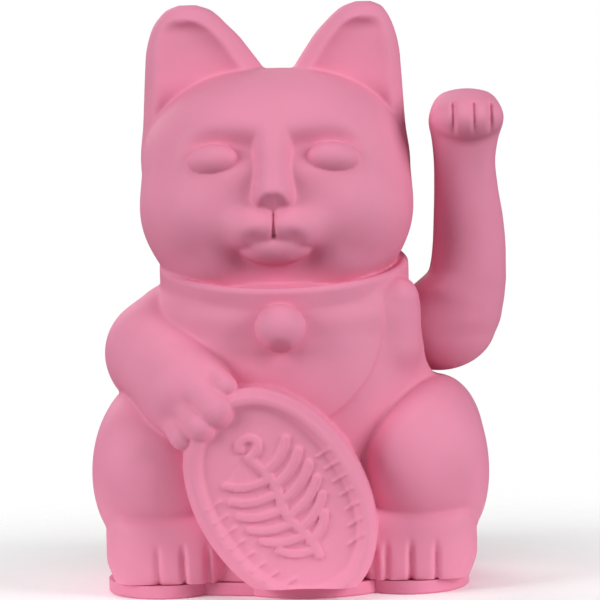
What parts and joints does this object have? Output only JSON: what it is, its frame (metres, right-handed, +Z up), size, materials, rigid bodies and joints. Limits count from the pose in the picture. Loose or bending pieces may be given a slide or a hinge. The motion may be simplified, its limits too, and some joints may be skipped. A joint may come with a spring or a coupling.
{
  "type": "beckoning cat figurine",
  "caption": "Seated cat figurine with a swinging raised arm, an oval plaque under its resting paw, a bell collar and a battery bay under its base plate.",
  "frame": {"origin": "underside of the base plate, below the middle of the body", "axes": "+Z up to the ears, -Y to the front where the face looks, +X to the side of the raised arm"},
  "size_m": [0.1087, 0.0887, 0.1476],
  "materials": {
    "pink_plastic": "soft matte moulded plastic",
    "base_plastic": "soft matte moulded plastic",
    "door_plastic": "moulded plastic with grip ribs",
    "white_plastic": "moulded plastic",
    "black_plastic": "moulded plastic",
    "axle_steel": "ground steel",
    "screw_steel": "zinc plated steel",
    "weight_steel": "dull grey steel",
    "magnet_nickel": "nickel plated magnet",
    "brass": "turned brass",
    "spring_nickel": "nickel plated spring strip",
    "cell_sleeve": "printed sleeve over steel",
    "board_laminate": "solder-masked laminate",
    "copper_wire": "enamelled copper winding",
    "chip_epoxy": "moulded epoxy with tinned legs",
    "capacitor_can": "aluminium can with sleeve",
    "resistor_body": "thick-film chip",
    "red_insulation": "soft insulation",
    "black_insulation": "soft insulation"
  },
  "bodies": {
    "figure": {"front_shell": "pink_plastic", "rear_shell": "pink_plastic", "base_plate": "base_plastic", "base_screws": "screw_steel", "battery_cell": "cell_sleeve", "battery_spring": "spring_nickel", "negative_contact": "spring_nickel", "positive_contact": "spring_nickel", "movement_frame": "white_plastic", "frame_screws": "screw_steel", "axle_bushes": "brass", "circuit_board": "board_laminate", "board_screws": "screw_steel", "coil_bobbin": "black_plastic", "coil_winding": "copper_wire", "driver_chip": "chip_epoxy", "capacitor": "capacitor_can", "resistors": "resistor_body", "red_lead": "red_insulation", "black_lead": "black_insulation"},
    "swing_arm": {"arm_front_half": "pink_plastic", "arm_rear_half": "pink_plastic", "arm_hub": "white_plastic", "axle": "axle_steel", "axle_clips": "screw_steel", "pendulum_lever": "white_plastic", "counterweight": "weight_steel", "drive_magnet": "magnet_nickel"},
    "battery_cover": {"battery_door": "door_plastic"}
  },
  "joints": [
    {"name": "arm_swing", "type": "hinge", "parent": "figure", "child": "swing_arm", "pos_m": [0, 0.003, 0.064], "axis": [1, 0, 0], "range_deg": [-20, 25]},
    {"name": "battery_door_slide", "type": "slide", "parent": "figure", "child": "battery_cover", "axis": [0, 1, 0], "range_m": [0, 0.066]}
  ]
}
